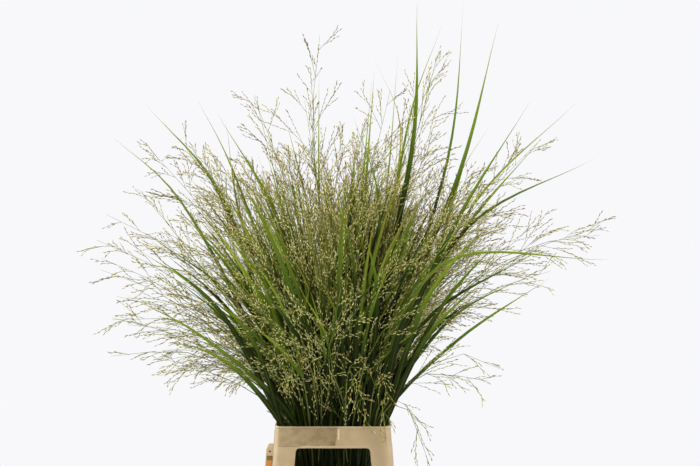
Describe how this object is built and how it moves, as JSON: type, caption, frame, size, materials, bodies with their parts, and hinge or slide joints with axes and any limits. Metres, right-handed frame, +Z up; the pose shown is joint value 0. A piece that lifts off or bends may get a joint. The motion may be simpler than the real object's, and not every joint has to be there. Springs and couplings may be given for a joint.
{
  "type": "potted switchgrass",
  "caption": "Bunch of cut switchgrass with long arching blades and airy seed heads, standing in a tapered flower bucket with a windowed collar.",
  "frame": {"origin": "centre of the bucket's flat underside, on the surface it stands on", "axes": "+Z up along the container, +X to the right across its narrow side, +Y to the back along its long side"},
  "size_m": [0.9542, 0.7221, 1.238],
  "materials": {
    "bucket": "satin moulded polypropylene, scuffed",
    "collar": "worn beige moulded plastic",
    "card": "plain, bare",
    "culm": "living grass stem, smooth and slightly waxy",
    "leaf": "living grass blade, parallel veins",
    "panicle": "dry, tan to pinkish spikelets on pale green twigs"
  },
  "bodies": {
    "root": {"bucket": "bucket", "card": "card", "card_holder": "collar", "collar": "collar", "culm_01": "culm", "culm_02": "culm", "culm_03": "culm", "culm_04": "culm", "culm_05": "culm", "culm_06": "culm", "culm_07": "culm", "culm_08": "culm", "culm_09": "culm", "culm_10": "culm", "culm_11": "culm", "culm_12": "culm", "culm_13": "culm", "culm_14": "culm", "culm_15": "culm", "culm_16": "culm", "leaf_01_a": "leaf", "leaf_02_a": "leaf", "leaf_03_a": "leaf", "leaf_04_a": "leaf", "leaf_04_b": "leaf", "leaf_05_a": "leaf", "leaf_06_a": "leaf", "leaf_07_a": "leaf", "leaf_08_a": "leaf", "leaf_08_b": "leaf", "leaf_09_a": "leaf", "leaf_10_a": "leaf", "leaf_10_b": "leaf", "leaf_11_a": "leaf", "leaf_11_b": "leaf", "leaf_12_a": "leaf", "leaf_13_a": "leaf", "leaf_13_b": "leaf", "leaf_14_a": "leaf", "leaf_14_b": "leaf", "leaf_15_a": "leaf", "leaf_15_b": "leaf", "leaf_16_a": "leaf", "leaf_16_b": "leaf", "panicle_01": "panicle", "panicle_02": "panicle", "panicle_03": "panicle", "panicle_04": "panicle", "panicle_05": "panicle", "panicle_06": "panicle", "panicle_07": "panicle", "panicle_08": "panicle", "panicle_09": "panicle", "panicle_10": "panicle", "panicle_11": "panicle", "panicle_12": "panicle", "panicle_13": "panicle", "panicle_14": "panicle", "panicle_15": "panicle", "panicle_16": "panicle"}
  },
  "joints": []
}
